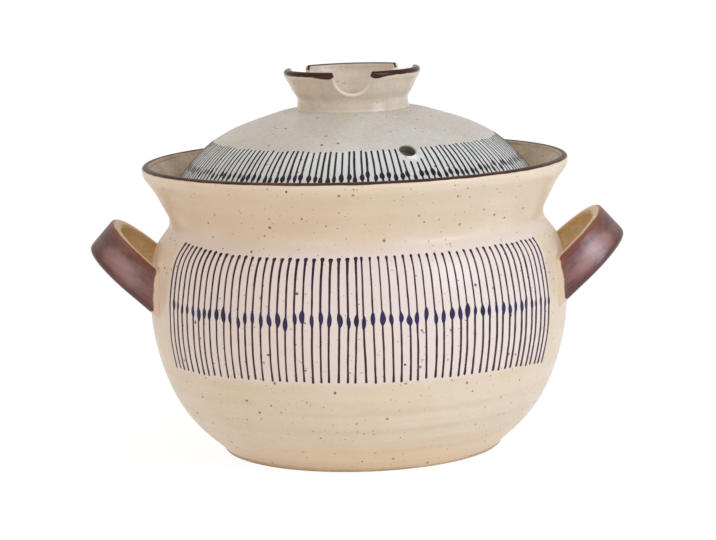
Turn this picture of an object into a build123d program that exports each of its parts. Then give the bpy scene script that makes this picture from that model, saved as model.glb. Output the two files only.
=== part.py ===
from build123d import *
import os
from math import cos, radians, sin

# Donabe clay pot: a round-bellied stoneware casserole with a flared mouth, two luted
# strap handles and a domed lid that drops into the mouth and is lifted by a ring knob.
# Millimetres, +Z up, origin at the centre of the foot. The handles lie on +X and -X,
# and one notch of the knob faces -Y, the front.

# Pot, outer wall
rim_radius = 120.0
rim_height = 163.8
neck_inset = 14.3
neck_drop = 31.8
shoulder_width = 12.3
belly_height = 88.0
foot_radius = 79.5
foot_edge = 2.2
foot_ring_width = 8.0
foot_recess = 2.5

# Pot, inner wall
wall = 6.5
floor_thickness = 7.5
floor_inset = 17.5
lip_thickness = 4.6
throat_inset = 22.0
throat_depth = 12.0
ledge_drop = 25.4
ledge_width = 5.0

# Lid
lid_play = 1.4
seat_gap = 0.3
lid_edge = 2.4
lid_skirt = 3.8
dome_rise = 49.8
dome_wall = 6.0
flange_play = 1.5
flange_thickness = 6.5
flange_depth = 11.0
flange_edge = 2.0

# Steam vent
vent_diameter = 9.0
vent_inset = 22.1
vent_angle = 21.0
vent_tilt = 33.0
vent_edge = 0.8

# Knob
knob_foot_radius = 31.6
knob_waist = 0.6
knob_neck_height = 4.5
knob_flare = 7.3
knob_height = 22.6
knob_wall = 4.6
knob_lip = 3.8
notches = 3
notch_radius = 9.8
notch_sink = 2.4
notch_shoulder = 3.0
notch_shoulder_rise = 0.5
notch_edge = 1.1

# Handles
handle_stand = 26.7
handle_rise = 37.2
handle_tilt = 42.0
handle_width = 21.0
handle_thickness = 7.5
handle_length = 58.0
handle_span = 78.0
handle_tip_flat = 10.0
handle_edge = 3.0
root_rise = 12.0
root_spread = 2.0
root_lean = 0.6

# How far a cut runs past the faces that it opens
overrun = 5.0

# Outlines, as shares of the run and the rise between their two ends
lower_wall_shares = ((0.252, 0.102), (0.525, 0.239), (0.80, 0.477), (0.964, 0.75))
shoulder_shares = ((0.114, 0.409), (0.439, 0.716), (0.846, 0.868))
flare_shares = ((0.157, 0.22), (0.49, 0.535), (0.82, 0.775))
inner_lower_shares = ((0.444, 0.077), (0.727, 0.256), (0.899, 0.564))
inner_shoulder_shares = ((0.096, 0.395), (0.378, 0.71), (0.83, 0.92))
inner_flare_shares = ((0.346, 0.449),)
dome_shares = ((0.23, 0.066), (0.483, 0.187), (0.767, 0.428), (0.926, 0.669))
knob_flare_shares = ((0.3, 0.31), (0.775, 0.73))
vent_height_share = 0.65

# A handle's root, as shares of its length towards the pot and of its full rise and spread
root_shares = ((0, 0), (0.25, 0.17), (0.55, 0.56), (1, 1))

# Sizes that follow from the ones above
neck_radius = rim_radius - neck_inset
neck_height = rim_height - neck_drop
belly_radius = neck_radius + shoulder_width
throat_radius = rim_radius - throat_inset
ledge_height = rim_height - ledge_drop
floor_radius = foot_radius - floor_inset
lip_round = lip_thickness / 2
lip_height = rim_height - lip_round
foot_flat_radius = foot_radius - foot_edge
foot_ring_inner = foot_flat_radius - foot_ring_width
floor_height = foot_recess + floor_thickness
throat_bottom = ledge_height - throat_depth
ledge_radius = throat_radius + ledge_width
lid_radius = ledge_radius - lid_play
lid_base = ledge_height + seat_gap
lid_side = lid_base + lid_skirt
crown_height = lid_side + dome_rise
hollow_height = crown_height - dome_wall
flange_radius = throat_radius - flange_play
flange_inner_radius = flange_radius - flange_thickness
vent_radius = lid_radius - vent_inset
knob_neck_radius = knob_foot_radius - knob_waist
knob_radius = knob_neck_radius + knob_flare
knob_top = crown_height + knob_height
knob_lip_height = knob_top - knob_lip / 2
handle_reach = belly_radius + handle_stand
handle_height = belly_height + handle_rise
handle_bend = (handle_span - handle_tip_flat) / 2
root_length = handle_length - handle_bend
leg_offset = (handle_span - handle_thickness) / 2

# Directions that the outlines leave and reach their ends in
up, down, outward, leaning_out = (0, 1), (0, -1), (1, 0), (1, 1)


def curve(start, end, shares, leaving, arriving):
    """A smooth line from start to end through points that share out its run and rise."""
    run, rise = end[0] - start[0], end[1] - start[1]
    middle = [(start[0] + across * run, start[1] + climb * rise) for across, climb in shares]
    return Spline(start, *middle, end, tangents=[leaving, arriving])


def pot_outside():
    """The pot's outer line, from the flat of the foot up to the inner edge of the lip."""
    foot_side = (foot_radius, foot_edge)
    belly = (belly_radius, belly_height)
    neck = (neck_radius, neck_height)
    lip_outer = (rim_radius, lip_height)
    lip_inner = (rim_radius - lip_thickness, lip_height)
    RadiusArc((foot_flat_radius, 0), foot_side, -foot_edge)
    curve(foot_side, belly, lower_wall_shares, leaning_out, up)
    curve(belly, neck, shoulder_shares, up, up)
    curve(neck, lip_outer, flare_shares, up, up)
    ThreePointArc(lip_outer, (rim_radius - lip_round, rim_height), lip_inner)
    return lip_inner


# Pot body: foot ring, belly, neck and flared mouth, with a ledge inside for the lid
with BuildPart() as pot_body:
    with BuildSketch(Plane.XZ):
        with BuildLine():
            lip_inner = pot_outside()
            ledge_outer = (ledge_radius, ledge_height)
            throat_foot = (throat_radius, throat_bottom)
            inner_belly = (belly_radius - wall, belly_height)
            floor_edge = (floor_radius, floor_height)
            recess_edge = (foot_ring_inner - foot_recess, foot_recess)
            curve(ledge_outer, lip_inner, inner_flare_shares, leaning_out, leaning_out)
            Polyline(ledge_outer, (throat_radius, ledge_height), throat_foot)
            curve(inner_belly, throat_foot, inner_shoulder_shares, up, up)
            curve(floor_edge, inner_belly, inner_lower_shares, outward, up)
            Polyline(floor_edge, (0, floor_height), (0, foot_recess), recess_edge)
            Polyline(recess_edge, (foot_ring_inner, 0), (foot_flat_radius, 0))
        make_face()
    revolve(axis=Axis.Z)
pot_body.part.label = "pot_body"


# The pot's outer form without its hollow, which the handles are cut against
with BuildPart() as pot_blank:
    with BuildSketch(Plane.XZ):
        with BuildLine():
            lip_inner = pot_outside()
            Polyline(lip_inner, (0, lip_height), (0, 0), (foot_flat_radius, 0))
        make_face()
    revolve(axis=Axis.Z)


# Strap of a handle, in the plane of its own loop: X points away from the pot, Y runs
# along the pot's side, and the two legs end in roots that swell upward where they are
# luted on, with the lower edge left straight
with BuildPart() as strap:
    with BuildSketch():
        for inset, mode in ((0, Mode.ADD), (handle_thickness, Mode.SUBTRACT)):
            with BuildSketch(mode=Mode.PRIVATE) as loop:
                with Locations((root_length, 0)):
                    Rectangle(
                        handle_length - root_length - inset,
                        handle_span - 2 * inset,
                        align=(Align.MIN, Align.CENTER),
                    )
                fillet(loop.vertices().group_by(Axis.X)[-1], handle_bend - inset)
            add(loop.sketch, mode=mode)
    extrude(amount=handle_width / 2, both=True)
    leg_ends = strap.faces().group_by(Axis.X)[0].edges()
    fillet(strap.faces().filter_by(Axis.Z).edges() - leg_ends, handle_edge)
    for leg in (-1, 1):
        for along, swell in root_shares:
            grown = swell * root_spread
            raised = swell * root_rise
            middle = (
                root_length * (1 - along),
                leg * (leg_offset + swell * root_lean),
                raised / 2,
            )
            with BuildSketch(Plane(origin=middle, x_dir=(0, 1, 0), z_dir=(1, 0, 0))):
                RectangleRounded(
                    handle_thickness + 2 * grown,
                    handle_width + raised,
                    handle_edge + grown / 2,
                )
        loft()


# Handles: the same strap on each side, tilted to rise outward and cut to the pot's curve
handles = []
tilt = radians(handle_tilt)
for name, side in (("handle_left", -1), ("handle_right", 1)):
    out = Vector(side * cos(tilt), 0, sin(tilt))
    tip = Vector(side * handle_reach, 0, handle_height)
    loop_plane = Plane(tip - out * handle_length, x_dir=out, z_dir=(-side * sin(tilt), 0, cos(tilt)))
    with BuildPart() as handle:
        with Locations(loop_plane):
            add(strap.part)
        add(pot_blank.part, mode=Mode.SUBTRACT)
    handle.part.label = name
    handles.append(handle)


# Lid: a thick dome with a flat land under the knob, a flat seat and a tilted steam vent
with BuildPart() as lid_dome:
    with BuildSketch(Plane.XZ):
        with BuildLine():
            land_edge = (knob_foot_radius, crown_height)
            side_top = (lid_radius, lid_side)
            side_foot = (lid_radius, lid_base + lid_edge)
            seat_outer = (lid_radius - lid_edge, lid_base)
            hollow_foot = (flange_inner_radius, lid_side)
            hollow_crown = (knob_foot_radius, hollow_height)
            Line((0, crown_height), land_edge)
            curve(land_edge, side_top, dome_shares, outward, down)
            Line(side_top, side_foot)
            RadiusArc(side_foot, seat_outer, lid_edge)
            Polyline(seat_outer, (flange_inner_radius, lid_base), hollow_foot)
            curve(hollow_crown, hollow_foot, dome_shares, outward, down)
            Polyline(hollow_crown, (0, hollow_height), (0, crown_height))
        make_face()
    revolve(axis=Axis.Z)
    vent_way = Vector(sin(radians(vent_angle)), -cos(radians(vent_angle)), 0)
    vent_height = lid_side + vent_height_share * dome_rise
    vent_plane = Plane(
        origin=vent_way * vent_radius + Vector(0, 0, vent_height),
        z_dir=vent_way * sin(radians(vent_tilt)) + Vector(0, 0, cos(radians(vent_tilt))),
    )
    with BuildSketch(vent_plane):
        Circle(vent_diameter / 2)
    extrude(amount=dome_wall + 2 * overrun, both=True, mode=Mode.SUBTRACT)
    fillet(lid_dome.edges(Select.LAST).filter_by(GeomType.BSPLINE), vent_edge)
lid_dome.part.label = "lid_dome"


# Locating ring luted under the lid, which drops into the pot's throat
with BuildPart() as lid_flange:
    with BuildSketch(Plane.XZ):
        with BuildSketch(mode=Mode.PRIVATE) as section:
            with Locations((flange_inner_radius, lid_base)):
                Rectangle(flange_thickness, flange_depth, align=(Align.MIN, Align.MAX))
            fillet(section.vertices().group_by(Axis.Y)[0], flange_edge)
        add(section.sketch)
    revolve(axis=Axis.Z)
lid_flange.part.label = "lid_flange"


# Knob: a flared ring on the lid's land, cut by three notches for the fingertips
with BuildPart() as lid_knob:
    with BuildSketch(Plane.XZ):
        with BuildLine():
            knob_foot = (knob_foot_radius, crown_height)
            neck_outer = (knob_neck_radius, crown_height + knob_neck_height)
            neck_inner = (knob_foot_radius - knob_wall, crown_height + knob_neck_height)
            lip_outer = (knob_radius, knob_lip_height)
            lip_top = (knob_radius - knob_lip / 2, knob_top)
            lip_inner = (knob_radius - knob_lip, knob_lip_height)
            Line(knob_foot, neck_outer)
            curve(neck_outer, lip_outer, knob_flare_shares, up, up)
            ThreePointArc(lip_outer, lip_top, lip_inner)
            curve(neck_inner, lip_inner, knob_flare_shares, up, up)
            Polyline(neck_inner, (neck_inner[0], crown_height), knob_foot)
        make_face()
    revolve(axis=Axis.Z)
    whole_ring = lid_knob.part
    for number in range(notches):
        azimuth = radians(360 * number / notches)
        notch_way = Vector(sin(azimuth), -cos(azimuth), 0)
        notch_across = Vector(cos(azimuth), sin(azimuth), 0)
        notch_centre = Vector(0, 0, knob_top - notch_sink)
        with BuildSketch(Plane(notch_centre, x_dir=notch_across, z_dir=notch_way)):
            with BuildSketch(mode=Mode.PRIVATE) as notch:
                Circle(notch_radius)
                with Locations((0, notch_sink + notch_shoulder_rise)):
                    Rectangle(
                        2 * (notch_radius + 2 * notch_shoulder),
                        overrun,
                        align=(Align.CENTER, Align.MIN),
                    )
                shoulders = notch.vertices().group_by(Axis.Y)[-2].sort_by(Axis.X)[1:-1]
                fillet(shoulders, notch_shoulder)
            add(notch.sketch)
        extrude(amount=knob_radius + overrun, mode=Mode.SUBTRACT)
    fillet(new_edges(whole_ring, combined=lid_knob.part), notch_edge)
lid_knob.part.label = "lid_knob"


os.makedirs("parts", exist_ok=True)
for piece in (pot_body, *handles, lid_dome, lid_flange, lid_knob):
    export_step(piece.part, f"parts/{piece.part.label}.step")
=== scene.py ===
import math
import random

import bmesh
import bpy
from bpy.props import FloatProperty, FloatVectorProperty, IntProperty, PointerProperty
from mathutils import Matrix, Vector, noise
from mathutils.bvhtree import BVHTree


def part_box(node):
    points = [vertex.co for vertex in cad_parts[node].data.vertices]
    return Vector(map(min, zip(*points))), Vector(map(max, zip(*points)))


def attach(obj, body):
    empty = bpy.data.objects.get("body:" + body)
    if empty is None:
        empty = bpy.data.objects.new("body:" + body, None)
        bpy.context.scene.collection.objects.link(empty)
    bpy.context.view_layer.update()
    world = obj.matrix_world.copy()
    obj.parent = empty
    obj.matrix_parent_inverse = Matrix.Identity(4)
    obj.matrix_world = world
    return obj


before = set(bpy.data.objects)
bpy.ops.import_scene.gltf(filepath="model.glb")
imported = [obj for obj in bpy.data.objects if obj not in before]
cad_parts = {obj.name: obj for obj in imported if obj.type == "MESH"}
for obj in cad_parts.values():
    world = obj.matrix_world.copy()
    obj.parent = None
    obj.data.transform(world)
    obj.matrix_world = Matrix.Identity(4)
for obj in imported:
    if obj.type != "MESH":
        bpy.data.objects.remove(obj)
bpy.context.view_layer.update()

# A lidded clay pot: glazes for its turned and hand-pulled parts, the brushed line
# pattern on its belly and lid as thin raised strokes, and a plain studio round it.

bl_info = {
    "name": "Lidded Clay Pot",
    "version": (1, 0, 0),
    "blender": (4, 5, 0),
    "location": "3D View > Sidebar > Clay Pot",
    "description": "Glazes, brushed lines and a soft studio for a lidded stoneware pot",
    "category": "Object",
}

MM = 0.001
PER_MM = 1 / MM


def shade(red, green, blue):
    """A colour as a paint chart gives it, 0 to 255, as the linear values that Blender keeps."""
    linear = []
    for value in (red, green, blue):
        part = value / 255
        linear.append(part / 12.92 if part <= 0.04045 else ((part + 0.055) / 1.055) ** 2.4)
    return tuple(linear)


def colour(name, description, *chart):
    return FloatVectorProperty(
        name=name, description=description, subtype="COLOR", size=3, min=0, max=1,
        default=shade(*chart),
    )


def length(name, description, millimetres):
    return FloatProperty(
        name=name, description=description, subtype="DISTANCE", unit="LENGTH",
        default=millimetres * MM, precision=5,
    )


def angle(name, description, degrees):
    return FloatProperty(
        name=name, description=description, subtype="ANGLE", unit="ROTATION",
        default=math.radians(degrees),
    )


def share(name, description, value):
    return FloatProperty(
        name=name, description=description, subtype="FACTOR", min=0, max=1, default=value
    )


def count(name, description, value, least):
    return IntProperty(name=name, description=description, default=value, min=least)


def positive(name, description, value, unit="NONE"):
    return FloatProperty(name=name, description=description, unit=unit, min=0, default=value)


# Settings that a user would change

class GlazeSettings(bpy.types.PropertyGroup):
    """Colours and gloss of the fired surfaces."""

    cream: colour("Cream", "Glaze on the outside of the pot", 223, 202, 180)
    # Pale cream: where the glaze lies thicker, and also the colour of the painted highlights on the
    # lip, the knob's notches and the knob's foot, and of the painted light on the throwing rings.
    pale_cream_and_highlight: colour("Pale cream", "Where the pot's glaze lies thicker", 232, 215, 195)
    # Blush: a warm tone that the glaze has in broad clouds, and also painted warm shade on the left
    # of the neck.
    blush_and_shade: colour("Blush", "Where the clay warms the glaze", 217, 187, 156)
    # Toe: the outside turns warmer and paler towards the foot.
    toe: colour("Toe", "Warm pale glaze near the foot", 240, 213, 182)
    ground: colour("Band ground", "Whiter glaze under the belly's lines", 234, 219, 217)
    # Inside: the inside's greyer glaze, darkened to stand in for the shade inside the pot, which is
    # painted shade.
    inside: colour("Inside", "Glaze inside the pot", 160, 138, 110)
    lid: colour("Lid", "Cooler glaze on the lid", 196, 187, 177)
    lid_ground: colour("Lid ground", "Whiter glaze under the lid's lines", 215, 217, 218)
    drip: colour("Drip", "Thick white drip beside the vent", 240, 240, 238)
    # Vent wall: a dark greenish grey on the vent's inner wall, which is painted shade in the hole.
    vent_shade: colour("Vent wall", "Greenish grey inside the vent", 104, 96, 80)
    knob: colour("Knob", "Glaze on the knob", 203, 188, 173)
    iron: colour("Iron line", "Brown line on the rim and the knob", 62, 24, 16)
    iron_thin: colour("Thin iron", "The same line where it is thin", 88, 42, 30)
    speck: colour("Specks", "Iron specks in the glazes", 76, 36, 12)
    clay: colour("Bare clay", "Unglazed foot, ledge and ring", 196, 164, 126)
    gloss: share("Gloss", "How smooth the pot's glaze is, as roughness", 0.34)
    lid_gloss: share("Lid gloss", "How smooth the lid's glaze is, as roughness", 0.22)


class HandleSettings(bpy.types.PropertyGroup):
    """Colours of the two strap handles."""

    brown: colour("Brown", "Outer face of the straps", 118, 74, 70)
    # Dark brown is also laid on the left handle's tip as painted shade.
    dark: colour("Dark brown", "Darker mottling and lower edges", 72, 42, 44)
    russet: colour("Russet", "Redder mottling near the upper edge", 140, 76, 62)
    # Greyish lilac painted sheen: a painted reflection of the lamps in the middle of each strap.
    painted_sheen: colour("Bloom", "Greyish lilac bloom in the middle", 174, 140, 141)
    edge: colour("Edge", "Light upper edge and the luted root", 224, 194, 160)
    ochre: colour("Ochre", "Inner face of the straps", 192, 160, 106)


class InkSettings(bpy.types.PropertyGroup):
    """Colours of the brushed pattern."""

    ink: colour("Ink", "Thick ink in the lines, above the leaves", 34, 21, 50)
    ink_low: colour("Lower ink", "Thick ink in the lines, below the leaves", 42, 26, 29)
    ink_thin: colour("Thin ink", "Thin ink in the lines", 72, 48, 51)
    leaf: colour("Leaf", "Indigo in the leaf-shaped marks", 46, 36, 86)
    leaf_dark: colour("Dark leaf", "Where a leaf's ink has pooled", 24, 18, 44)
    lid_ink: colour("Lid ink", "Ink of the lid's lines", 14, 16, 26)
    lid_thin: colour("Thin lid ink", "Thin ink in the lid's lines", 40, 42, 50)
    rise: length("Rise", "How far a stroke stands above the glaze", 0.12)


class BellySettings(bpy.types.PropertyGroup):
    """The band of lines on the front of the belly."""

    left_lines: count("Left lines", "Lines left of the seam", 27, 2)
    right_lines: count("Right lines", "Lines right of the seam", 27, 2)
    pitch: angle("Pitch", "From one line to the next", 2.29)
    seam_left: angle("Seam, left line", "Place of the last line before the seam", -0.5)
    seam_right: angle("Seam, right line", "Place of the first line after the seam", 1.0)
    top: length("Top", "Height of the lines' upper ends", 123.2)
    middle: length("Middle", "Height of the leaves", 90.6)
    bottom: length("Bottom", "Height of the lines' lower ends", 56.4)
    line: length("Line width", "Full width of a line", 1.4)
    leaf_width: length("Leaf width", "Full width of a leaf", 3.75)
    leaf_length: length("Leaf length", "Length of a leaf", 8.4)


class LidLineSettings(bpy.types.PropertyGroup):
    """The ring of lines round the lid."""

    lines: count("Lines", "Lines all round the lid", 161, 8)
    top_radius: length("Top radius", "Distance of the upper ends from the axis", 79)
    leaf_radius: length("Leaf radius", "Distance of the leaves from the axis", 93.0)
    foot_radius: length("Foot radius", "Distance of the lower ends from the axis", 100.2)
    line: length("Line width", "Full width of a line", 1.68)
    leaf_width: length("Leaf width", "Full width of a leaf", 3.2)
    leaf_length: length("Leaf length", "Length of a leaf", 6.0)


class StageSettings(bpy.types.PropertyGroup):
    """Floor, light and camera."""

    floor: colour("Floor", "Pale floor and backdrop", 250, 249, 247)
    sky: positive("Fill", "Even light from all round", 0.68)
    key: positive("Key lamp", "Soft box on the right", 9.3, "POWER")
    top: positive("Top lamp", "Soft box overhead", 1.9, "POWER")
    low: positive("Low lamp", "Soft box low in front", 2.3, "POWER")
    distance: length("Camera distance", "From the pot's axis to the camera", 1500)
    height: length("Camera height", "Above the floor", 327.05)
    pitch: angle("Camera pitch", "How far the camera looks down", 8.623)
    roll: angle("Camera roll", "How far the camera leans", -1.76)
    lens: positive("Lens", "Focal length", 134.166, "CAMERA")


class ClayPotSettings(bpy.types.PropertyGroup):
    """All settings of the clay pot."""

    glaze: PointerProperty(type=GlazeSettings)
    handles: PointerProperty(type=HandleSettings)
    ink: PointerProperty(type=InkSettings)
    belly: PointerProperty(type=BellySettings)
    lid_lines: PointerProperty(type=LidLineSettings)
    stage: PointerProperty(type=StageSettings)


# Shader building

class Value:
    """A node's output; plain arithmetic with it makes the next node."""

    def __init__(self, socket):
        self.socket = socket

    def __add__(self, other):
        return maths("ADD", self, other)

    def __sub__(self, other):
        return maths("SUBTRACT", self, other)

    def __rsub__(self, other):
        return maths("SUBTRACT", other, self)

    def __mul__(self, other):
        return maths("MULTIPLY", self, other)

    def __rtruediv__(self, other):
        return maths("DIVIDE", other, self)


def feed(socket, value):
    """Sets a socket, or links another node's output to it."""
    if isinstance(value, Value):
        socket.id_data.links.new(value.socket, socket)
    elif hasattr(value, "__len__") and len(socket.default_value) == len(value) + 1:
        socket.default_value = (*value, 1)
    else:
        socket.default_value = value


def new_node(kind, inputs, tree=None, **settings):
    """The outputs of a new node, whose inputs go by number or name.

    It joins the tree that a linked input comes from, unless another is given.
    """
    inputs = dict(inputs)
    linked = [value.socket for value in inputs.values() if isinstance(value, Value)]
    node = (tree or linked[0].id_data).nodes.new("ShaderNode" + kind)
    for name, setting in settings.items():
        setattr(node, name, setting)
    for key, value in inputs.items():
        feed(node.inputs[key], value)
    return [Value(socket) for socket in node.outputs]


def maths(operation, *values, clamp=False):
    return new_node("Math", enumerate(values), operation=operation, use_clamp=clamp)[0]


def vectors(operation, *values):
    outputs = new_node("VectorMath", enumerate(values), operation=operation)
    return outputs[1 if operation in ("DOT_PRODUCT", "LENGTH") else 0]


def scaled(vector, factor):
    return new_node("VectorMath", {0: vector, "Scale": factor}, operation="SCALE")[0]


def split(vector):
    return new_node("SeparateXYZ", {0: vector})


def joined(*parts):
    return new_node("CombineXYZ", enumerate(parts))[0]


def mixed(factor, first, second):
    """The first colour where the factor is 0, the second where it is 1."""
    return new_node("Mix", {0: factor, 6: first, 7: second}, data_type="RGBA")[2]


def fade(value, start, end, low=0.0, high=1.0):
    """A smooth change from low at start to high at end."""
    inputs = enumerate((value, start, end, low, high))
    return new_node("MapRange", inputs, interpolation_type="SMOOTHSTEP")[0]


def grain(vector, scale, detail=2.0, distortion=0.0):
    """Noise about 0.5, at so many features per millimetre."""
    inputs = {"Vector": vector, "Scale": scale, "Detail": detail, "Distortion": distortion}
    return new_node("TexNoise", inputs)[0]


def either(*masks):
    result = masks[0]
    for mask in masks[1:]:
        result = maths("MAXIMUM", result, mask)
    return result


# Shader groups: what each one does with its inputs

def turned_form(vector):
    """Millimetre place, distance from the axis, height, and turn from the front in degrees."""
    place = scaled(vector, PER_MM)
    x, y, z = split(place)
    turn = maths("ARCTAN2", x, y * -1.0)
    return place, vectors("LENGTH", joined(x, y, 0.0)), z, maths("DEGREES", turn)


def uneven_band(vector, value, low, high, soft, wander, reach):
    """1 between two values and 0 outside, with soft ends that wander as a brush does."""
    drift = (grain(vector, 1.0 / reach) - 0.5) * 4.0
    value = maths("MULTIPLY_ADD", drift, wander, value)
    rise = fade(value, low - soft, low + soft)
    fall = fade(value, high - soft, high + soft, 1.0, 0.0)
    return rise * fall


def iron_specks(vector, base, speck, cell, size, often, strength):
    """Iron specks that burn through a glaze: small spots, of which a share shows, in clumps."""
    ragged = new_node("TexNoise", {"Vector": vector, "Scale": 1.1})[1]
    nudge = scaled(vectors("SUBTRACT", ragged, (0.5, 0.5, 0.5)), 0.9)
    inputs = {"Vector": vectors("ADD", vector, nudge), "Scale": 1.0 / cell}
    distance, chance = new_node("TexVoronoi", inputs)[:2]
    to_show, to_grow, to_darken = split(chance)
    size = size * fade(to_grow, 0.0, 1.0, 0.45, 1.25)
    spot = fade(distance * cell, size * 1.25, size * 0.55)
    clump = fade(grain(vector, 0.045), 0.36, 0.62, 0.25, 1.7)
    shows = maths("LESS_THAN", to_show, often * clump)
    strength = strength * fade(to_darken, 0.0, 1.0, 0.4, 1.0)
    return mixed(spot * shows * strength, base, speck)


def glaze_clouds(vector, base, other, cloud_size, clouding, mottle_size, mottling):
    """A glaze that lies thicker and thinner, in broad clouds and a fine mottle."""
    cloud = grain(vector, 1.0 / cloud_size, 3.0, 0.6)
    mottle = grain(vector, 1.0 / mottle_size, 4.0)
    broad = fade(cloud, 0.36, 0.66) * clouding
    fine = fade(mottle, 0.42, 0.68) * mottling
    return mixed(maths("ADD", broad, fine, clamp=True), base, other)


def glaze_skin(vector, ring_spacing, rings, ripple_size, ripple, pitting):
    """Height of a glazed surface: throwing rings under it and a soft ripple in it."""
    x, y, z = split(vector)
    ring = grain(joined(x * 0.035, y * 0.035, z), 1.0 / ring_spacing, 1.5)
    waves = grain(vector, 1.0 / ripple_size)
    pits = fade(grain(vector, 2.6), 0.30, 0.42)
    height = maths("MULTIPLY_ADD", waves, ripple, ring * rings)
    return maths("MULTIPLY_ADD", pits, pitting, height)


def brushed_ink(vector, thick, thin, patch_size, streak_size, streaks):
    """Ink that lies thick and thin along a stroke, as a colour and a thickness."""
    x, y, z = split(vector)
    patch = grain(vector, 1.0 / patch_size)
    streak = grain(joined(x, y, z * 0.22), 1.0 / streak_size)
    streaky = fade(streak, 0.4, 0.7) * streaks
    thinness = maths("ADD", fade(patch, 0.38, 0.64) * 0.75, streaky, clamp=True)
    return mixed(thinness, thick, thin), 1.0 - thinness


# What makes each group, its inputs with a first value or a kind, and its outputs
GROUPS = {
    "Turned Form": (
        turned_form,
        {"Vector": "Vector"},
        {"Place": "Vector", "Radius": "Float", "Height": "Float", "Turn": "Float"},
    ),
    "Uneven Band": (
        uneven_band,
        {
            "Vector": "Vector", "Value": 0.0, "Low": 0.0, "High": 1.0, "Softness": 0.3,
            "Wander": 0.5, "Reach": 8.0,
        },
        {"Mask": "Float"},
    ),
    "Iron Specks": (
        iron_specks,
        {
            "Vector": "Vector", "Color": "Color", "Speck Color": "Color", "Cell": 5.0,
            "Size": 0.5, "Share": 0.4, "Strength": 0.8,
        },
        {"Color": "Color"},
    ),
    "Glaze Clouds": (
        glaze_clouds,
        {
            "Vector": "Vector", "Color": "Color", "Other Color": "Color", "Cloud Size": 40.0,
            "Clouding": 0.5, "Mottle Size": 2.5, "Mottling": 0.2,
        },
        {"Color": "Color"},
    ),
    "Glaze Skin": (
        glaze_skin,
        {
            "Vector": "Vector", "Ring Spacing": 8.0, "Rings": 0.4, "Ripple Size": 3.0,
            "Ripple": 0.15, "Pitting": 0.0,
        },
        {"Height": "Float"},
    ),
    "Brushed Ink": (
        brushed_ink,
        {
            "Vector": "Vector", "Thick Color": "Color", "Thin Color": "Color",
            "Patch Size": 30.0, "Streak Size": 1.2, "Streaks": 0.3,
        },
        {"Color": "Color", "Thickness": "Float"},
    ),
}
groups = {}


def make_group(name):
    """A node group with its named sockets, and between them what its function makes."""
    build, inputs, outputs = GROUPS[name]
    tree = bpy.data.node_groups.new(name, "ShaderNodeTree")
    for title, given in inputs.items():
        kind = given if isinstance(given, str) else "Float"
        socket = tree.interface.new_socket(title, in_out="INPUT", socket_type="NodeSocket" + kind)
        if kind == "Float":
            socket.default_value = given
    for title, kind in outputs.items():
        tree.interface.new_socket(title, in_out="OUTPUT", socket_type="NodeSocket" + kind)
    start = tree.nodes.new("NodeGroupInput").outputs
    made = build(*(Value(start[title]) for title in inputs))
    end = tree.nodes.new("NodeGroupOutput").inputs
    for socket, value in zip(end, [made] if isinstance(made, Value) else made):
        feed(socket, value)
    return tree


def placed(name, *values):
    """A shared group placed in a material, its inputs in order: its output, or all of them."""
    if name not in groups:
        groups[name] = make_group(name)
    outputs = new_node("Group", enumerate(values), node_tree=groups[name])
    return outputs[0] if len(outputs) == 1 else outputs


class Finish:
    """A material in the making: its coordinates and its one Principled shader."""

    def __init__(self, name):
        self.material = bpy.data.materials.new(name)
        self.material.use_nodes = True
        tree = self.material.node_tree
        tree.nodes.clear()
        self.shader = tree.nodes.new("ShaderNodeBsdfPrincipled")
        new_node("OutputMaterial", {"Surface": Value(self.shader.outputs[0])})
        spots = tree.nodes.new("ShaderNodeTexCoord").outputs
        self.normal = Value(spots["Normal"])
        form = placed("Turned Form", Value(spots["Object"]))
        self.place, self.radius, self.height, self.turn = form

    def band(self, *values):
        """A mask, given a value, low, high, softness, wander and reach."""
        return placed("Uneven Band", self.place, *values)

    def clouds(self, *values):
        """A colour, given two colours, cloud size, clouding, mottle size and mottling."""
        return placed("Glaze Clouds", self.place, *values)

    def skin(self, *values):
        """A height, given ring spacing, rings, ripple size, ripple and pitting."""
        return placed("Glaze Skin", self.place, *values)

    def specks(self, base, speck, cell, size, often, strength, shift=0.0):
        spot = vectors("ADD", self.place, (shift, shift, shift))
        return placed("Iron Specks", spot, base, speck, cell, size, often, strength)

    def all_specks(self, base, speck, strength=1.0, often=1.0):
        """Three sizes of iron specks: dust, common ones and a few large dark ones."""
        base = self.specks(base, speck, 2.6, 0.3, 0.6 * often, 0.75 * strength)
        base = self.specks(base, speck, 4.4, 0.48, 0.75 * often, strength, 31.7)
        return self.specks(base, speck, 6.8, 0.76, 0.7 * often, strength, 77.3)

    def bump(self, height, depth):
        """Depth in millimetres of a height of 1."""
        inputs = {"Height": height, "Distance": depth * MM, "Strength": 1.0}
        feed(self.shader.inputs["Normal"], new_node("Bump", inputs)[0])

    def roughness(self, base, *changes):
        """Roughness that a list of (mask, other roughness) changes in turn, with a slight cloud."""
        value = fade(grain(self.place, 0.09), 0.3, 0.7, base - 0.04, base + 0.05)
        for mask, other in changes:
            value = new_node("Mix", {0: mask, 2: value, 3: other})[0]
        feed(self.shader.inputs["Roughness"], value)

    def specular(self, level):
        feed(self.shader.inputs["Specular IOR Level"], level)

    def coloured(self, value):
        """The finished material."""
        feed(self.shader.inputs["Base Color"], value)
        return self.material


# Places in the glazes as the pot was turned: heights and radii in millimetres, turns in
# degrees from the front or round the lip from level, pairs from low to high

LIP_RADIUS = 117.7
LIP_HEIGHT = 161.5
LIP_LINE = (24.0, 126.0)
# Turns round the lip of the painted highlight under the brown line
LIP_HIGHLIGHT = (-22.0, 26.0)
NECK = (134.0, 158.0)
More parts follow.
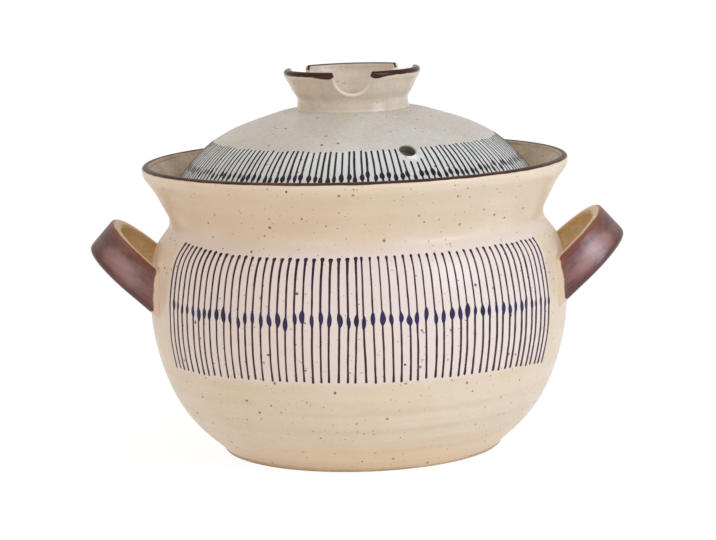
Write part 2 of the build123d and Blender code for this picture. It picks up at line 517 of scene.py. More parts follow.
# Heights of the painted highlight on the shoulder
SHOULDER_HIGHLIGHT = (124.5, 130.5)
LEDGE_HEIGHT = 138.4
LEDGE_RADIUS = 103.0
THROAT_FOOT = 126.4
FLOOR_EDGE = 80.0
FOOT_RECESS = 5.0
LINES_TURN = (-62.0, 61.8)
LINES_HEIGHT = (55.6, 124.8)
LID_GROUND = (79.4, 130.0)
LID_OUTSIDE = 150.0
LID_SEAT = 140.4
LID_SEAT_RADIUS = 88.5
VENT_WALL = (1.0, 5.4)
DRIP_PLACE = (-2.6, 4.2, 3.2)
NOTCH_RADIUS = 9.8
NOTCH_SINK = 2.4
LOBE_TURN = 120.0
STRIP_START = 15.2

# Roughness of bare clay, and how strongly plain glaze, the brown line and the brown strips reflect
MATT = 0.85
PLAIN_SPECULAR = 0.5
LINE_SPECULAR = 0.25
STRIP_SPECULAR = 0.22


def bare_clay(finish, glaze):
    return finish.clouds(glaze.clay, glaze.cream, 12.0, 0.3, 0.8, 0.4)


def make_pot_glaze(glaze):
    """The pot: cream outside, a greyer inside darkened with painted shade, brown lip, bare ledge and
    foot.
    """
    finish = Finish("pot_glaze")
    place, radius, height = finish.place, finish.radius, finish.height
    outside = finish.clouds(glaze.cream, glaze.pale_cream_and_highlight, 46.0, 0.55, 2.2, 0.22)
    warm = fade(grain(place, 0.022), 0.48, 0.66, 0.0, 0.36)
    outside = mixed(warm, outside, glaze.blush_and_shade)
    px, py, pz = split(place)
    # Painted warm shade: the blush laid on the neck, strongly on the left side and hardly on the
    # right.
    neck_shade = finish.band(height, *NECK, 7.0, 2.0, 30.0)
    outside = mixed(neck_shade * fade(px, -100.0, 100.0, 0.52, 0.1), outside, glaze.blush_and_shade)
    # Warmer and paler towards the foot.
    outside = mixed(fade(height, 24.0, 8.0), outside, glaze.toe)
    # Paler level bands on the lower belly, along the throwing rings: painted light and shade
    # standing in for the rings' relief.
    level = joined(px * 0.02, py * 0.02, pz)
    ring_shading = fade(grain(level, 0.1), 0.4, 0.62, 0.0, 0.6)
    outside = mixed(ring_shading * fade(height, 62.0, 44.0, 0.35, 1.0), outside, glaze.pale_cream_and_highlight)
    # A painted highlight: a paler band along the upward-facing shoulder, just above the lines, in
    # the band ground's colour.
    shoulder_highlight = finish.band(height, *SHOULDER_HIGHLIGHT, 2.6, 1.2, 25.0)
    outside = mixed(shoulder_highlight * 0.4, outside, glaze.ground)
    across = finish.band(finish.turn, *LINES_TURN, 2.2, 0.8, 20.0)
    down = finish.band(height, *LINES_HEIGHT, 3.0, 1.2, 20.0)
    outside = mixed(across * down * 0.85, outside, glaze.ground)

    radial = vectors("NORMALIZE", joined(px, py, 0.0))
    inner_wall = fade(vectors("DOT_PRODUCT", finish.normal, radial), 0.05, -0.05)
    floor = fade(radius, FLOOR_EDGE + 4, FLOOR_EDGE) * fade(height, FOOT_RECESS, FOOT_RECESS + 1)
    # The inside's colour is painted shade as well as the inside's greyer glaze.
    inside = finish.clouds(glaze.inside, glaze.cream, 30.0, 0.3, 2.4, 0.2)
    surface = mixed(either(inner_wall, floor), outside, inside)
    surface = finish.all_specks(surface, glaze.speck, 1.0, 1.35)

    ledge = finish.band(height, THROAT_FOOT + 1, LEDGE_HEIGHT + 0.6, 0.2, 0.3, 10.0)
    throat = fade(radius, LEDGE_RADIUS + 1.2, LEDGE_RADIUS + 0.4) * ledge
    foot = fade(height, 0.7, 0.3)
    recess = fade(radius, FLOOR_EDGE, FLOOR_EDGE - 1) * fade(height, FOOT_RECESS, FOOT_RECESS - 1)
    bare = either(throat, foot, recess)
    surface = mixed(bare, surface, bare_clay(finish, glaze))

    round_lip = maths("DEGREES", maths("ARCTAN2", height - LIP_HEIGHT, radius - LIP_RADIUS))
    at_lip = fade(height, LIP_HEIGHT - 1.6, LIP_HEIGHT - 1.1)
    at_lip = at_lip * fade(radius, LIP_RADIUS - 3.5, LIP_RADIUS - 3.0)
    line = finish.band(round_lip, *LIP_LINE, 7.0, 5.0, 14.0) * at_lip
    brown = mixed(fade(grain(place, 0.06, 3.0), 0.45, 0.75), glaze.iron, glaze.iron_thin)
    # A painted highlight: a pale cream line round the lip just under the brown line.
    below = finish.band(round_lip, *LIP_HIGHLIGHT, 7.0, 4.0, 14.0)
    surface = mixed(below * at_lip * 0.6, surface, glaze.pale_cream_and_highlight)
    surface = mixed(line, surface, brown)

    low = fade(height, 60.0, 40.0, 0.14, 1.0)
    finish.bump(finish.skin(8.5, 3.6, 5.0, 0.25, 0.05) * low, 0.9)
    finish.roughness(glaze.gloss, (bare, MATT), (line, 0.34))
    finish.specular(fade(line, 0.0, 1.0, PLAIN_SPECULAR, LINE_SPECULAR))
    return finish.coloured(surface)


def make_lid_glaze(glaze, vent, vent_normal):
    """The lid: cooler and glossier, whiter under its lines and below the vent, with painted shade in
    the vent.
    """
    finish = Finish("lid_glaze")
    radius, height = finish.radius, finish.height
    outside = finish.clouds(glaze.lid, glaze.lid_ground, 40.0, 0.3, 2.2, 0.25)
    ground = finish.band(radius, *LID_GROUND, 1.4, 0.6, 16.0)
    outer = fade(height, LID_OUTSIDE, LID_OUTSIDE + 2)
    from_vent = vectors("SUBTRACT", finish.place, vent)
    away = vectors("LENGTH", from_vent)
    collar = finish.band(away, -1.0, 6.0, 0.6, 0.5, 3.0)
    outside = mixed(ground * outer * 0.85 * (1.0 - collar), outside, glaze.lid_ground)
    drip = vectors("LENGTH", vectors("ADD", from_vent, DRIP_PLACE))
    outside = mixed(finish.band(drip, -1.0, 2.4, 0.5, 0.8, 2.5), outside, glaze.drip)
    surface = finish.all_specks(outside, glaze.speck, 1.0, 1.3)
    # Painted shade: the vent's inner wall, below the lid's surface, darkened with the vent wall
    # colour.
    depth = vectors("DOT_PRODUCT", from_vent, vent_normal) * -1.0
    vent_shade = finish.band(depth, *VENT_WALL, 0.5, 0.2, 4.0) * fade(away, 8.6, 7.6)
    surface = mixed(vent_shade * 0.85, surface, glaze.vent_shade)
    seat = fade(split(finish.normal)[2], -0.6, -0.8) * fade(height, LID_SEAT, LID_SEAT - 0.8)
    seat = seat * fade(radius, LID_SEAT_RADIUS, LID_SEAT_RADIUS + 1)
    bare = either(seat, fade(height, LID_SEAT + 0.8, LID_SEAT - 0.2))
    surface = mixed(bare, surface, bare_clay(finish, glaze))
    finish.bump(finish.skin(6.0, 0.35, 4.5, 0.2, 0.04), 0.4)
    finish.roughness(glaze.lid_gloss, (bare, MATT))
    return finish.coloured(surface)


def make_knob_glaze(glaze, low, high):
    """The knob: cream-grey ring with a glossy brown strip on the lip of each lobe, and painted
    highlights on the notches' edges and round its foot.
    """
    finish = Finish("knob_glaze")
    radius = finish.radius
    surface = finish.clouds(glaze.knob, glaze.pale_cream_and_highlight, 18.0, 0.45, 2.0, 0.2)
    surface = finish.all_specks(surface, glaze.speck, 0.5)
    lobe = maths("MODULO", finish.turn + 4 * LOBE_TURN, LOBE_TURN)
    from_notch = maths("MINIMUM", lobe, LOBE_TURN - lobe)
    down = high - finish.height
    thick = fade(from_notch, 18.0, 40.0, 3.9, 2.7)
    round_end = maths("POWER", fade(from_notch, STRIP_START, STRIP_START + 4.6), 0.5)
    middle = fade(from_notch, 15.0, 30.0, 2.5, 0.6)
    top = maths("MULTIPLY_ADD", round_end, -1.5 - middle, middle)
    foot = maths("MULTIPLY_ADD", round_end, thick - middle, middle)
    strip = finish.band(down, top, foot, 0.22, 0.25, 6.0) * fade(radius, 34.6, 35.4)
    strip = strip * fade(from_notch, STRIP_START + 0.1, STRIP_START + 0.6)
    # A painted highlight: a thin pale cream line on the rounded edge of each notch.
    sideways = radius * maths("SINE", maths("RADIANS", from_notch))
    from_cut = vectors("LENGTH", joined(sideways, 0.0, down - NOTCH_SINK))
    notch_highlight = finish.band(from_cut, NOTCH_RADIUS, NOTCH_RADIUS + 1.3, 0.35, 0.12, 6.0)
    notch_highlight = notch_highlight * fade(down, 2.0, 5.0) * fade(radius, 28.0, 29.0) * 0.75
    surface = mixed(notch_highlight, surface, glaze.pale_cream_and_highlight)
    surface = mixed(strip, surface, glaze.iron)
    # The pooled mask is a painted highlight: a pale line round the knob's foot, in the fold where it
    # meets the dome.
    pooled = finish.band(finish.height, low - 1.0, low + 1.0, 0.5, 0.4, 9.0)
    surface = mixed(pooled * 0.6, surface, glaze.pale_cream_and_highlight)
    finish.bump(finish.skin(5.0, 0.35, 4.0, 0.25, 0.02), 0.4)
    finish.roughness(glaze.lid_gloss, (strip, 0.2))
    finish.specular(fade(strip, 0.0, 1.0, PLAIN_SPECULAR, STRIP_SPECULAR))
    return finish.coloured(surface)


def make_clay_finish(glaze):
    """Bare fired clay: matt, sandy and slightly pitted."""
    finish = Finish("bare_clay")
    surface = finish.clouds(glaze.clay, glaze.cream, 10.0, 0.35, 0.7, 0.5)
    surface = finish.specks(surface, glaze.speck, 2.4, 0.3, 0.35, 0.7)
    finish.bump(finish.skin(1.6, 0.5, 0.5, 0.4, 0.4), 0.25)
    finish.roughness(MATT)
    return finish.coloured(surface)


# A strap's own plane, as the pot was built: it rises outward at this tilt, in degrees, and
# its half width is measured square to it; the tip and the bend's depth in millimetres
STRAP_TILT = 42.0
STRAP_TIP = (144.7, 125.2)
STRAP_BEND = 34.0
# Across the strap's width, in millimetres: where the brown stops, and where the under side is
PAINT_TOP = 10.1
UNDERSIDE = -8.6
# The belly behind a handle: greatest radius, its height, and how fast the wall curves in
BELLY_RADIUS = 118.0
BELLY_HEIGHT = 88.0
BELLY_CURVE = 0.0063


def make_handle_glaze(handles, glaze):
    """The straps: mottled brown outside with a painted sheen, ochre inside, a light upper edge and
    root.
    """
    finish = Finish("handle_glaze")
    tilt = math.radians(STRAP_TILT)
    along = (math.cos(tilt), 0.0, math.sin(tilt))
    square = (-math.sin(tilt), 0.0, math.cos(tilt))

    x, y, z = split(finish.place)
    spot = joined(maths("ABSOLUTE", x) - STRAP_TIP[0], y, z - STRAP_TIP[1])
    down = vectors("DOT_PRODUCT", spot, along) + STRAP_BEND
    lift = vectors("DOT_PRODUCT", spot, square)

    nx, ny, nz = split(finish.normal)
    run = vectors("DOT_PRODUCT", joined(nx * maths("SIGN", x), ny, nz), along)
    away = vectors("NORMALIZE", joined(maths("MAXIMUM", down, 0.0), y, 0.0))
    outward = vectors("DOT_PRODUCT", joined(run, ny, 0.0), away)
    outer_face = fade(outward, 0.1, 0.34)
    inner_face = fade(outward, -0.25, -0.6)
    below_edge = finish.band(lift, -30.0, PAINT_TOP, 0.35, 0.22, 9.0)
    underside = fade(lift, UNDERSIDE, UNDERSIDE - 1.3)

    wall = BELLY_RADIUS - maths("POWER", z - BELLY_HEIGHT, 2.0) * BELLY_CURVE
    gap = finish.radius - wall
    corner = fade(lift, -8.0, -10.8, 3.0, 4.6)
    off_wall = finish.band(gap, corner, 200.0, 0.5, 0.5, 7.0)

    mottle = grain(joined(down * 0.45, y * 0.45, lift), 0.13, 3.0, 0.15)
    blotch = grain(finish.place, 0.06)
    fibre = grain(joined(down * 0.2, y * 0.2, lift), 0.4, 3.0)
    brown = mixed(fade(mottle, 0.48, 0.68), handles.brown, handles.dark)
    brown = mixed(fade(blotch, 0.5, 0.7, 0.0, 0.7), brown, handles.russet)
    brown = mixed(fade(fibre, 0.46, 0.66, 0.0, 0.55), brown, handles.dark)
    # Darker towards each strap's tip; that it is much darker on the left handle than on the right is
    # painted shade.
    dark_tip_and_shade = fade(maths("MULTIPLY_ADD", mottle, 14.0, down), 22.0, 38.0)
    brown = mixed(dark_tip_and_shade * fade(x, -10.0, 10.0, 0.6, 0.2), brown, handles.dark)
    upper = fade(maths("MULTIPLY_ADD", mottle, 6.0, lift), 7.5, 12.5, 0.0, 0.6)
    brown = mixed(upper, brown, handles.russet)
    # A painted sheen: the lamps' reflection painted on the middle of each strap, stronger on the
    # right handle, which faces the key lamp.
    sheen = vectors("LENGTH", joined((down - 14.0) * 0.05, 0.0, (lift + 0.5) * 0.115))
    sheen = fade(maths("MULTIPLY_ADD", mottle, 1.1, sheen), 1.65, 0.55)
    brown = mixed(sheen * fade(x, -10.0, 10.0, 0.72, 0.95), brown, handles.painted_sheen)
    brown = mixed(fade(lift, -5.0, -9.5) * 0.7, brown, handles.dark)

    edge = finish.clouds(handles.edge, glaze.pale_cream_and_highlight, 14.0, 0.3, 1.6, 0.3)
    edge = mixed(fade(gap, 4.5, -0.5), edge, glaze.cream)
    ochre = finish.clouds(handles.ochre, handles.edge, 16.0, 0.3, 2.0, 0.3)
    surface = mixed(inner_face, edge, ochre)
    painted = either(outer_face, underside) * below_edge * off_wall * (1.0 - inner_face)
    surface = mixed(painted, surface, brown)
    surface = finish.specks(surface, glaze.speck, 7.0, 0.4, 0.4, 0.5)

    finish.bump(finish.skin(9.0, 0.3, 3.6, 0.5, 0.1), 0.45)
    finish.roughness(0.42, (painted, 0.32))
    return finish.coloured(surface)


# Millimetres from one thick patch of ink to the next, and from one streak to the next
INK_PATCH = 24.0
INK_STREAK = 1.1


def make_ink(name, thick, thin, streaks, roughness, lower=None, middle=0.0):
    """Brushed ink; below a middle height in millimetres its thick colour may differ."""
    finish = Finish(name)
    if lower is not None:
        thick = mixed(fade(finish.height, middle - 4, middle + 4), lower, thick)
    sizes = (INK_PATCH, INK_STREAK, streaks)
    ink, thickness = placed("Brushed Ink", finish.place, thick, thin, *sizes)
    finish.roughness(roughness)
    finish.bump(thickness, 0.05)
    finish.specular(0.25)
    return finish.coloured(ink)


# Strokes: thin closed ribbons with a low crown, laid on the fired surface

# Across a stroke: shares of its half width and of its rise, round the ribbon
STROKE_SECTION = ((-1.0, -0.9), (-0.66, 0.62), (0.0, 1.0), (0.66, 0.62), (1.0, -0.9), (0.0, -1.6))
# Millimetres from either end of a stroke, where it is drawn more finely
END_STEPS = (0.0, 0.08, 0.25, 0.5, 0.85, 1.3, 1.9)
# Between them: millimetres from one station of a line to the next, and stations of a leaf
BELLY_STEP = 0.95
LID_STEP = 0.6
BELLY_LEAF_STEPS = 22
LID_LEAF_STEPS = 16
# Millimetres that a line's rounded ends take, and that it may wander to each side
BELLY_ROUND = 0.62
LID_ROUND = 0.5
WANDER = 0.16
# How much higher than a line a leaf stands
LEAF_RISE = 1.5
# Metres from the axis or over the floor, clear of the pot, where a ray starts
RAY_START = 0.4
# Lines this near the vent stop this far from its middle, in millimetres
VENT_NEAR = 5.6
VENT_RING = 7.2
# How much of a leaf's length the sloping lid shows from above
LEAF_SHOWN = 0.62
# The belly's band: its reach to each side, the share of it where the leaves begin, and the
# wall's radius in metres at the lines and at the leaves
BAND_REACH = math.radians(60.0)
FIRST_LEAF = -0.97
LINE_RADIUS = 0.115
LEAF_RADIUS = 0.118
# What keeps a stroke's ends from closing to nothing, as a share
THINNEST = 0.02
# Chance of the belly's and of the lid's strokes
BELLY_SEED = 54
LID_SEED = 167
# Rows of the noise for slow wanders, and how far apart they lie in it; each stroke has its own
# row for its path and its width, counted from these
ROW_STEP = 7.31
BELLY_TOPS = 1
BELLY_FEET = 2
LID_TOPS = 5
BELLY_PATHS = 10
BELLY_WIDTHS = 90
LID_PATHS = 300
LID_WIDTHS = 600


def level_way(turn):
    """Away from the axis, at this turn from the front."""
    return Vector((math.sin(turn), -math.cos(turn), 0))


class Wall:
    """The outer surface of a turned node, found with rays."""

    def __init__(self, node):
        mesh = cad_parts[node].data
        self.tree = BVHTree.FromPolygons(
            [corner.co for corner in mesh.vertices], [tuple(face.vertices) for face in mesh.polygons]
        )

    def meet(self, start, way):
        point, normal, _, _ = self.tree.ray_cast(start, way)
        if point is None:
            raise RuntimeError("a brush stroke misses the surface it is laid on")
        return point, normal if normal.dot(way) < 0 else -normal

    def from_side(self, turn, height):
        """Where a level line at this turn and height meets the wall from outside."""
        out = level_way(turn)
        return self.meet(out * RAY_START + Vector((0, 0, height)), -out)

    def from_above(self, turn, radius):
        """Where a plumb line at this turn and radius meets the wall from above."""
        start = level_way(turn) * radius + Vector((0, 0, RAY_START))
        return self.meet(start, Vector((0, 0, -1)))


def lay_stroke(bm, stations, rise):
    """One closed ribbon through stations of (point, normal, turn, half width)."""
    rings = []
    widest = max(half for _, _, _, half in stations)
    for point, normal, turn, half in stations:
        across = Vector((math.cos(turn), math.sin(turn), 0))
        crown = rise * min(1.0, half / (0.5 * widest) + 0.1)
        rings.append([
            bm.verts.new(point + across * (side * half) + normal * (lift * crown))
            for side, lift in STROKE_SECTION
        ])
    for ring, following in zip(rings, rings[1:]):
        for number in range(len(ring)):
            other = (number + 1) % len(ring)
            bm.faces.new((ring[number], following[number], following[other], ring[other]))
    bm.faces.new(rings[0])
    bm.faces.new(tuple(reversed(rings[-1])))


def places_along(length, step):
    """Distances along a stroke, closer together near its two rounded ends."""
    ends = [distance * MM for distance in END_STEPS]
    inner = length - 2 * ends[-1]
    count = round(inner / step)
    middle = [ends[-1] + inner * number / count for number in range(1, count)]
    return ends + middle + [length - distance for distance in reversed(ends)]


def rounded_end(distance, half):
    """How much of its width a stroke has this far from its rounded end."""
    if distance >= half:
        return 1.0
    return math.sqrt(max(THINNEST, 1 - (1 - distance / half) ** 2))


def leaf_profile(share_along, fullness):
    """Half width of a leaf along its length, as a share: pointed ends, fuller at one side."""
    bent = share_along ** fullness
    return max(THINNEST, math.sin(math.pi * bent)) ** 0.72


def finish_piece(name, bm, material, body):
    """Turns a bmesh into a smooth piece that rides on a body."""
    bmesh.ops.recalc_face_normals(bm, faces=bm.faces)
    mesh = bpy.data.meshes.new(name)
    bm.to_mesh(mesh)
    bm.free()
    mesh.polygons.foreach_set("use_smooth", [True] * len(mesh.polygons))
    mesh.materials.append(material)
    piece = bpy.data.objects.new(name, mesh)
    bpy.context.scene.collection.objects.link(piece)
    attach(piece, body)
    return piece


def smooth_noise(value, row):
    """A slow, seeded wander about 0 along a line, different for each row."""
    return noise.noise(Vector((value, row * ROW_STEP, 2.7)))


def brush_belly(belly, ink):
    """Lines and leaves of the belly's band, drawn from the top down."""
    draw = random.Random(BELLY_SEED)
    wall = Wall("pot_body")
    lines, leaves = bmesh.new(), bmesh.new()
    steps = reversed(range(belly.left_lines))
    turns = [belly.seam_left - belly.pitch * step for step in steps]
    turns += [belly.seam_right + belly.pitch * step for step in range(belly.right_lines)]
    for number, top_turn in enumerate(turns):
        left = number < belly.left_lines
        place = top_turn / BAND_REACH
        # The farthest lines start higher on the left and end lower on the right
        top = belly.top + (draw.uniform(-0.3, 0.3) + 0.9 * smooth_noise(place * 3, BELLY_TOPS)) * MM
        top += 2.6 * MM * max(0.0, -place - 0.6) / 0.4
        bottom = belly.bottom + draw.uniform(-0.35, 0.35) * MM
        bottom += 1.2 * MM * smooth_noise(place * 3, BELLY_FEET)
        bottom -= 3.2 * MM * max(0.0, place - 0.72) / 0.28
        middle = belly.middle + (draw.gauss(0, 0.95) - 2.6 * place ** 5) * MM
        # A line bends at its leaf: it leans one way above it and another below it
        jitter = math.radians(draw.uniform(-0.07, 0.07))
        mid_turn = top_turn * 1.022 - math.radians(0.15 if left else -0.1) + jitter
        lean = -1.05 - 1.6 * max(0.0, -place - 0.3) if left else 0.5
        end_turn = top_turn + math.radians(lean + draw.uniform(-0.1, 0.1))
        step = draw.uniform(-0.5, 0.5) * MM
        # The brush was fullest just left of the seam
        from_fullest = (number - belly.left_lines + 4.5) / 6
        bold = 0.75 + 0.45 * math.exp(-(from_fullest ** 2)) if left else 0.0
        upper = 0.5 * belly.line * (0.97 if left else 0.81) * draw.uniform(0.92, 1.1)
        lower = 0.5 * belly.line * draw.uniform(0.94, 1.1)
        end_weight = 1 + 0.5 * max(0.0, abs(place) - (0.6 if left else 0.4)) / 0.4
        nail = (0.34 + 0.16 * bold) * MM * draw.uniform(0.85, 1.15)
        stations = []
        for distance in places_along(top - bottom, BELLY_STEP * MM):
            height = top - distance
            if height > middle:
                way = (top - height) / (top - middle)
                turn = top_turn + (mid_turn - top_turn) * way
            else:
                way = (middle - height) / (middle - bottom)
                turn = mid_turn + (end_turn - mid_turn) * way
            shift = step / LINE_RADIUS / (1 + math.exp((height - middle) / (1.6 * MM)))
            wobble = smooth_noise(height / (11 * MM), BELLY_PATHS + number)
            wobble *= WANDER * MM / LINE_RADIUS
            point, normal = wall.from_side(turn + shift + wobble, height)
            below, above = (top - height) / MM, (height - bottom) / MM
            width = (upper if height > middle else lower) * end_weight
            width *= 1 + 0.16 * smooth_noise(height / (5 * MM), BELLY_WIDTHS + number)
            # A nail-head top, a bold start and a slightly swollen lower end
            width += nail * math.exp(-(below - 0.7) ** 2)
            width += 0.26 * bold * MM * math.exp(-below / 12)
            width += 0.14 * MM * math.exp(-((above - 1.2) / 2.4) ** 2)
            width *= rounded_end(min(below, above), BELLY_ROUND)
            stations.append((point, normal, turn, width))
        lay_stroke(lines, stations, ink.rise)

        if place < FIRST_LEAF:
            continue
        half_leaf = 0.5 * belly.leaf_width * draw.uniform(0.74, 1.12)
        long = belly.leaf_length * draw.uniform(0.82, 1.16)
        fullness = draw.uniform(0.8, 1.35)
        offset = draw.uniform(-0.45, 0.45) * MM
        slant = step * 1.3 + draw.uniform(-0.35, 0.35) * MM
        stations = []
        for station in range(BELLY_LEAF_STEPS + 1):
            along = station / BELLY_LEAF_STEPS
            height = middle + long * (0.5 - along)
            side = offset * math.sin(math.pi * along) + slant * (along - 0.5) + step * 0.5
            turn = mid_turn + side / LEAF_RADIUS
            point, normal = wall.from_side(turn, height)
            width = half_leaf * leaf_profile(along, fullness)
            stations.append((point, normal, turn, width))
        lay_stroke(leaves, stations, ink.rise * LEAF_RISE)
    return lines, leaves


def brush_lid(settings, ink, vent_turn, vent_radius):
    """Lines and leaves all round the lid, from the ring above the vent to the lid's edge."""
    draw = random.Random(LID_SEED)
    wall = Wall("lid_dome")
    lines, leaves = bmesh.new(), bmesh.new()
    for number in range(settings.lines):
        turn_top = 2 * math.pi * (number + draw.uniform(-0.10, 0.10)) / settings.lines
        turn_top = (turn_top + math.pi) % (2 * math.pi) - math.pi
        top = settings.top_radius + draw.uniform(-0.45, 0.45) * MM
        top += 0.6 * MM * smooth_noise(turn_top * 2, LID_TOPS)
        near = abs(turn_top - vent_turn) * vent_radius
        if near < VENT_NEAR * MM:
            top = vent_radius + math.sqrt(max(0.0, (VENT_RING * MM) ** 2 - near ** 2))
            top += draw.uniform(-0.3, 0.8) * MM
        foot = settings.foot_radius + draw.uniform(-0.6, 0.3) * MM
        middle = settings.leaf_radius + draw.gauss(0, 0.55) * MM
        lean = math.radians(draw.uniform(-0.35, 0.35))
        half = 0.5 * settings.line * draw.uniform(0.84, 1.14)
        stations = []
        for distance in places_along(foot - top, LID_STEP * MM):
            along = distance / (foot - top)
            radius = top + distance
            wobble = WANDER * MM / radius * smooth_noise(radius / (7 * MM), LID_PATHS + number)
            turn = turn_top + lean * (along - 0.5) + wobble
            point, normal = wall.from_above(turn, radius)
            start, end = (radius - top) / MM, (foot - radius) / MM
            width = half * (1 + 0.14 * smooth_noise(radius / (4 * MM), LID_WIDTHS + number))
            width *= 0.86 + 0.14 * along
            width *= rounded_end(min(start, end), LID_ROUND)
            stations.append((point, normal, turn, width))
        lay_stroke(lines, stations, ink.rise)

        half_leaf = 0.5 * settings.leaf_width * draw.uniform(0.82, 1.14)
        long = settings.leaf_length * draw.uniform(0.85, 1.15)
        fullness = draw.uniform(0.62, 0.95)
        offset = draw.uniform(-0.35, 0.35) * MM
        stations = []
        for station in range(LID_LEAF_STEPS + 1):
            along = station / LID_LEAF_STEPS
            radius = middle + long * (along - 0.5) * LEAF_SHOWN
            turn = turn_top + lean * ((radius - top) / (foot - top) - 0.5)
            turn += offset * math.sin(math.pi * along) / radius
            point, normal = wall.from_above(turn, radius)
            width = half_leaf * leaf_profile(1 - along, fullness)
            stations.append((point, normal, turn, width))
        lay_stroke(leaves, stations, ink.rise * LEAF_RISE)
    return lines, leaves


# Operators

# The vent's turn in degrees and its distance from the axis in millimetres
VENT_TURN = 21.0
VENT_RADIUS = 79.5
# Radians round the lid from the vent, to meet the dome and not the hole
VENT_CLEARANCE = 0.2


def dress(node, material):
    """Gives a node that came with the frame its finish."""
    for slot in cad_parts[node].material_slots:
        slot.material = material


class CLAYPOT_OT_glaze_pot(bpy.types.Operator):
    """Glaze the pot and its two handles"""

    bl_idname = "clay_pot.glaze_pot"
    bl_label = "Glaze the Pot"

    def execute(self, context):
        settings = context.scene.clay_pot
        dress("pot_body", make_pot_glaze(settings.glaze))
        handle_glaze = make_handle_glaze(settings.handles, settings.glaze)
        dress("handle_left", handle_glaze)
        dress("handle_right", handle_glaze)
        return {"FINISHED"}


class CLAYPOT_OT_glaze_lid(bpy.types.Operator):
    """Glaze the lid and its knob, and leave its ring bare"""

    bl_idname = "clay_pot.glaze_lid"
    bl_label = "Glaze the Lid"

    def execute(self, context):
        glaze = context.scene.clay_pot.glaze
        turn = math.radians(VENT_TURN)
        beside = turn + VENT_CLEARANCE
        point, normal = Wall("lid_dome").from_above(beside, VENT_RADIUS * MM)
        vent = (VENT_RADIUS * math.sin(turn), -VENT_RADIUS * math.cos(turn), point.z * PER_MM)
        outward = normal.x * math.sin(beside) - normal.y * math.cos(beside)
        vent_normal = (outward * math.sin(turn), -outward * math.cos(turn), normal.z)
        low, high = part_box("lid_knob")
        dress("lid_dome", make_lid_glaze(glaze, vent, vent_normal))
        dress("lid_knob", make_knob_glaze(glaze, low.z * PER_MM, high.z * PER_MM))
        dress("lid_flange", make_clay_finish(glaze))
        return {"FINISHED"}


class CLAYPOT_OT_brush_belly(bpy.types.Operator):
    """Brush the band of lines and leaves on the belly"""

    bl_idname = "clay_pot.brush_belly"
    bl_label = "Brush the Belly"

    def execute(self, context):
        settings = context.scene.clay_pot
        lines, leaves = brush_belly(settings.belly, settings.ink)
        line_ink = make_ink(
            "belly_line_ink", settings.ink.ink, settings.ink.ink_thin, 0.3, 0.32,
            lower=settings.ink.ink_low, middle=settings.belly.middle * PER_MM,
        )
        leaf_ink = make_ink("belly_leaf_ink", settings.ink.leaf_dark, settings.ink.leaf, 0.6, 0.3)
        finish_piece("belly_lines", lines, line_ink, "pot")
        finish_piece("belly_leaves", leaves, leaf_ink, "pot")
        return {"FINISHED"}


class CLAYPOT_OT_brush_lid(bpy.types.Operator):
    """Brush the ring of lines and leaves on the lid"""

    bl_idname = "clay_pot.brush_lid"
    bl_label = "Brush the Lid"

    def execute(self, context):
        settings = context.scene.clay_pot
        lines, leaves = brush_lid(
            settings.lid_lines, settings.ink, math.radians(VENT_TURN), VENT_RADIUS * MM
        )
        line_ink = make_ink("lid_line_ink", settings.ink.lid_ink, settings.ink.lid_thin, 0.2, 0.24)
        leaf_ink = make_ink("lid_leaf_ink", settings.ink.lid_ink, settings.ink.leaf_dark, 0.35, 0.22)
        finish_piece("lid_lines", lines, line_ink, "lid")
        finish_piece("lid_leaves", leaves, leaf_ink, "lid")
        return {"FINISHED"}


# Light of the lamps and of the fill
COOL = (0.71, 0.87, 1.0)
PLAIN = (1.0, 0.98, 0.95)
WARM = (1.0, 0.91, 0.8)
FILL = (1.0, 0.945, 0.88)
# Where the lamps point, and half the floor's width, in metres
AIM = (0, 0, 0.1)
FLOOR_HALF = 6.0
# How much of the floor's own look is glow, to the camera, and how bright that is
GLOW_SHARE = 0.88
GLOW = 1.06


def add_lamp(name, sides, power, tint, place):
    """A soft box at a place, turned towards the pot."""
    light = bpy.data.lights.new(name, "AREA")
    light.shape = "RECTANGLE"
    light.size, light.size_y = sides
    light.energy = power
    light.color = tint
    lamp = bpy.data.objects.new(name, light)
    lamp.location = place
    lamp.rotation_euler = (Vector(AIM) - Vector(place)).to_track_quat("-Z", "Y").to_euler()
    bpy.context.scene.collection.objects.link(lamp)


def make_floor_finish(floor_colour):
    """A pale floor that the camera sees nearly white and that keeps the pot's shadow."""
    material = bpy.data.materials.new("studio_floor")
    material.use_nodes = True
    tree = material.node_tree
    tree.nodes.clear()
    seen = tree.nodes.new("ShaderNodeLightPath").outputs
    straight = maths("MAXIMUM", Value(seen["Is Camera Ray"]), Value(seen["Is Glossy Ray"]))
    diffuse = new_node("BsdfDiffuse", {"Color": floor_colour}, tree)[0]
    glow = new_node("Emission", {"Strength": GLOW}, tree)[0]
    mix = new_node("MixShader", enumerate((straight * GLOW_SHARE, diffuse, glow)))[0]
    new_node("OutputMaterial", {"Surface": mix})
    return material


def make_world(strength):
    """Even light from all round, which the camera sees as white."""
    world = bpy.data.worlds.new("studio")
    bpy.context.scene.world = world
    world.use_nodes = True
    tree = world.node_tree
    tree.nodes.clear()
    seen = Value(tree.nodes.new("ShaderNodeLightPath").outputs["Is Camera Ray"])
    fill = new_node("Background", {"Color": FILL, "Strength": strength}, tree)[0]
    white = new_node("Background", {"Color": (1, 1, 1), "Strength": 1}, tree)[0]
    mix = new_node("MixShader", enumerate((seen, fill, white)))[0]
    new_node("OutputWorld", {"Surface": mix})


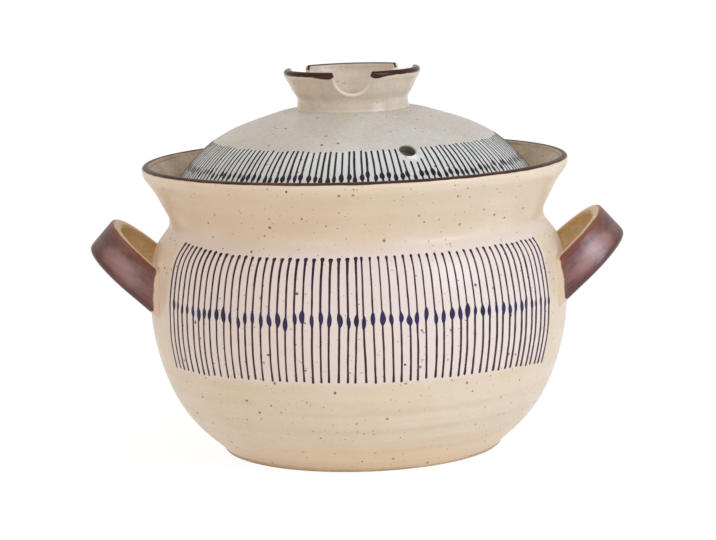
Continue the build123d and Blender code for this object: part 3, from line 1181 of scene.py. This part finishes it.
class CLAYPOT_OT_set_stage(bpy.types.Operator):
    """Lay the floor, hang the lamps and set up the camera"""

    bl_idname = "clay_pot.set_stage"
    bl_label = "Set the Stage"

    def execute(self, context):
        stage = context.scene.clay_pot.stage
        mesh = bpy.data.meshes.new("studio_floor")
        signs = ((-1, -1), (1, -1), (1, 1), (-1, 1))
        corners = [(x * FLOOR_HALF, y * FLOOR_HALF, 0) for x, y in signs]
        mesh.from_pydata(corners, [], [(0, 1, 2, 3)])
        mesh.materials.append(make_floor_finish(stage.floor))
        floor = bpy.data.objects.new("studio_floor", mesh)
        context.scene.collection.objects.link(floor)
        make_world(stage.sky)
        add_lamp("key_lamp", (0.6, 0.9), stage.key, COOL, (1.15, -0.85, 0.7))
        add_lamp("top_lamp", (1.0, 1.0), stage.top, PLAIN, (-0.2, -0.1, 1.3))
        add_lamp("low_lamp", (1.2, 0.5), stage.low, WARM, (-0.75, -1.2, 0.08))

        camera = bpy.data.objects.new("camera", bpy.data.cameras.new("camera"))
        camera.data.lens = stage.lens
        camera.data.sensor_width = 36
        ahead = Vector((0, math.cos(stage.pitch), -math.sin(stage.pitch)))
        right = Vector((1, 0, 0))
        up = right.cross(ahead)
        leaning_right = right * math.cos(stage.roll) + up * math.sin(stage.roll)
        leaning_up = leaning_right.cross(ahead)
        turned = Matrix((leaning_right, leaning_up, -ahead)).transposed()
        place = Matrix.Translation((0, -stage.distance, stage.height))
        camera.matrix_world = place @ turned.to_4x4()
        context.scene.collection.objects.link(camera)
        context.scene.camera = camera
        context.scene.view_settings.view_transform = "Standard"
        return {"FINISHED"}


class CLAYPOT_PT_panel(bpy.types.Panel):
    """Makes each part of the clay pot's look"""

    bl_label = "Clay Pot"
    bl_idname = "CLAYPOT_PT_panel"
    bl_space_type = "VIEW_3D"
    bl_region_type = "UI"
    bl_category = "Clay Pot"

    def draw(self, context):
        for operator in OPERATORS:
            self.layout.operator(operator.bl_idname)


OPERATORS = (
    CLAYPOT_OT_glaze_pot,
    CLAYPOT_OT_glaze_lid,
    CLAYPOT_OT_brush_belly,
    CLAYPOT_OT_brush_lid,
    CLAYPOT_OT_set_stage,
)
CLASSES = (
    GlazeSettings, HandleSettings, InkSettings, BellySettings, LidLineSettings, StageSettings,
    ClayPotSettings, *OPERATORS, CLAYPOT_PT_panel,
)


def register():
    for cls in CLASSES:
        bpy.utils.register_class(cls)
    bpy.types.Scene.clay_pot = PointerProperty(type=ClayPotSettings)


def unregister():
    del bpy.types.Scene.clay_pot
    for cls in reversed(CLASSES):
        bpy.utils.unregister_class(cls)


def main():
    register()
    bpy.ops.clay_pot.glaze_pot()
    bpy.ops.clay_pot.glaze_lid()
    bpy.ops.clay_pot.brush_belly()
    bpy.ops.clay_pot.brush_lid()
    bpy.ops.clay_pot.set_stage()


if __name__ == "__main__":
    main()
